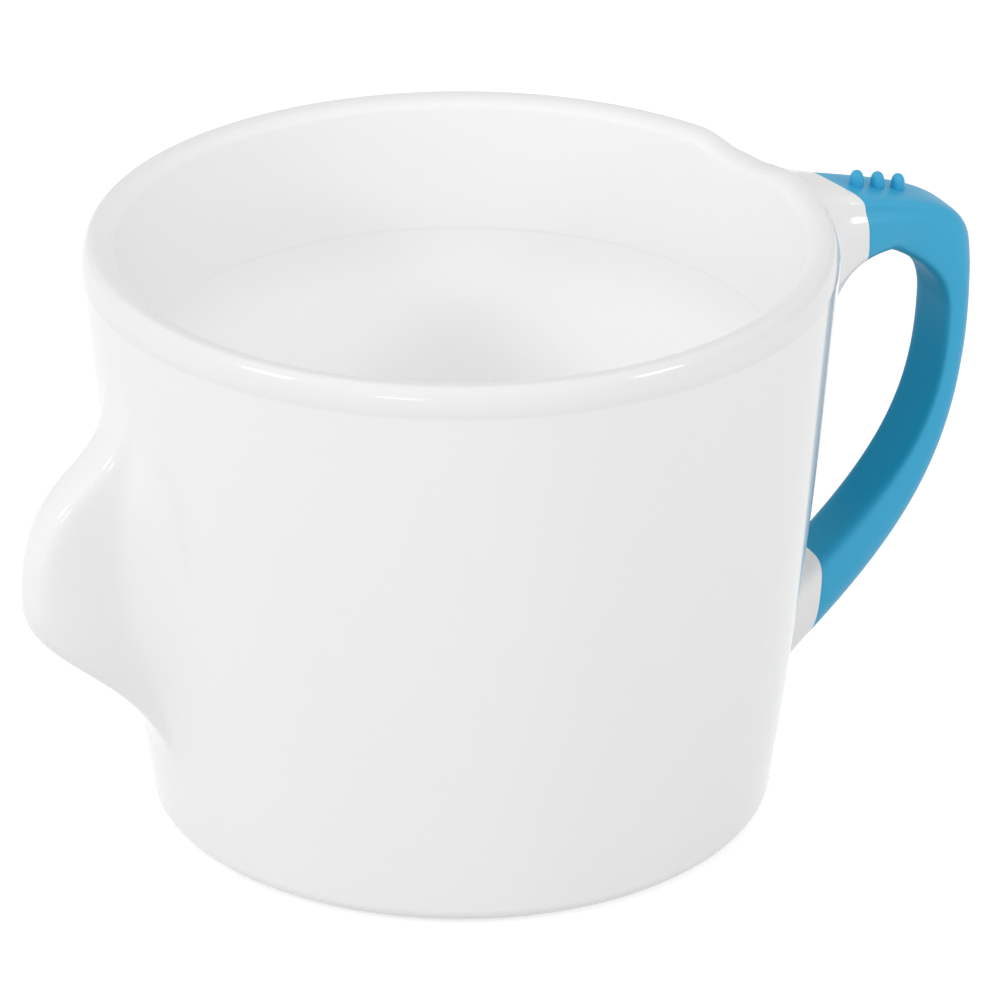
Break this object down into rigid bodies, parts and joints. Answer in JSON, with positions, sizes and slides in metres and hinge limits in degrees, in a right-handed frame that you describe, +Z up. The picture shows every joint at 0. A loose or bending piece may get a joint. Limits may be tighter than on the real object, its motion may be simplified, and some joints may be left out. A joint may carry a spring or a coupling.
{
  "type": "two-handled cup",
  "caption": "Drinking cup with a funnel-shaped liner, a loop handle with a soft grip and thumb rest, and a solid fin-shaped lug on the opposite side for the other hand.",
  "frame": {"origin": "centre of the cup's flat underside, on the cup's axis", "axes": "+Z up along the cup's axis, +X towards the loop handle, -X towards the lug"},
  "size_m": [0.1451, 0.105, 0.0853],
  "materials": {
    "shell_white": "smooth moulded gloss",
    "liner_white": "smooth moulded gloss",
    "grip_blue": "soft satin"
  },
  "bodies": {
    "root": {"cup_shell": "shell_white", "inner_liner": "liner_white", "handle_grip": "grip_blue"}
  },
  "joints": []
}
